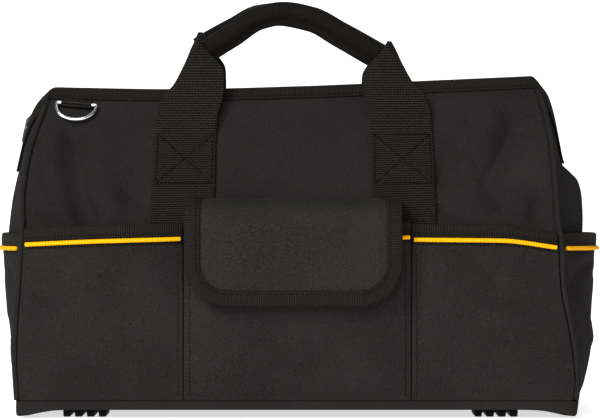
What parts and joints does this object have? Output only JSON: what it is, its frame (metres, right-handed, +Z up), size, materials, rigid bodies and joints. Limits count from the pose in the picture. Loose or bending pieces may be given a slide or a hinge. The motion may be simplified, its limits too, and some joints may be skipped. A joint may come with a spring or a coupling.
{
  "type": "zipped tool bag",
  "caption": "Soft cloth work bag with a gable top that zips shut, two webbing handles, piped outer pockets, a flap pocket and ridged rubber feet.",
  "frame": {"origin": "middle of the footprint, on the surface that the bag stands on", "axes": "+X along the bag to the right, -Y out of the front with the flap, +Z up"},
  "size_m": [0.496, 0.2542, 0.3357],
  "materials": {
    "body_cloth": "black oxford weave, matte",
    "binding_tape": "ribbed woven tape, black",
    "handle_webbing": "ribbed heavy webbing, warm black",
    "yellow_piping": "woven piping, golden yellow",
    "foot_rubber": "moulded, matte",
    "zip": "black zip tape with a nylon coil",
    "zip_metal": "black enamel",
    "ring_metal": "polished nickel plate"
  },
  "bodies": {
    "bag": {"front_panel": "body_cloth", "back_panel": "body_cloth", "left_end_panel": "body_cloth", "right_end_panel": "body_cloth", "base_panel": "body_cloth", "front_left_seam_cord": "body_cloth", "front_right_seam_cord": "body_cloth", "back_left_seam_cord": "body_cloth", "back_right_seam_cord": "body_cloth", "front_left_pocket": "body_cloth", "front_centre_pocket": "body_cloth", "front_right_pocket": "body_cloth", "back_pocket": "body_cloth", "left_end_pocket": "body_cloth", "right_end_pocket": "body_cloth", "flap": "body_cloth", "front_rim_binding": "binding_tape", "back_rim_binding": "binding_tape", "flap_binding": "binding_tape", "front_left_pocket_binding": "binding_tape", "front_centre_pocket_binding": "binding_tape", "front_right_pocket_binding": "binding_tape", "back_pocket_binding": "binding_tape", "left_end_pocket_binding": "binding_tape", "right_end_pocket_binding": "binding_tape", "front_handle_left_strap": "handle_webbing", "front_handle_right_strap": "handle_webbing", "front_handle_grip": "handle_webbing", "back_handle_left_strap": "handle_webbing", "back_handle_right_strap": "handle_webbing", "back_handle_grip": "handle_webbing", "ring_loop": "handle_webbing", "front_left_pocket_piping": "yellow_piping", "front_centre_pocket_piping": "yellow_piping", "front_right_pocket_piping": "yellow_piping", "back_pocket_piping": "yellow_piping", "left_end_pocket_piping": "yellow_piping", "right_end_pocket_piping": "yellow_piping", "front_left_foot": "foot_rubber", "front_right_foot": "foot_rubber", "back_left_foot": "foot_rubber", "back_right_foot": "foot_rubber", "zip_tape": "zip", "zip_slider": "zip_metal"},
    "ring": {"d_ring": "ring_metal"}
  },
  "joints": [
    {"name": "ring_swing", "type": "hinge", "parent": "bag", "child": "ring", "pos_m": [-0.18292, -0.01913, 0.25061], "axis": [-0.9945, 0.0659, 0.0812], "range_deg": [0, 130]}
  ]
}
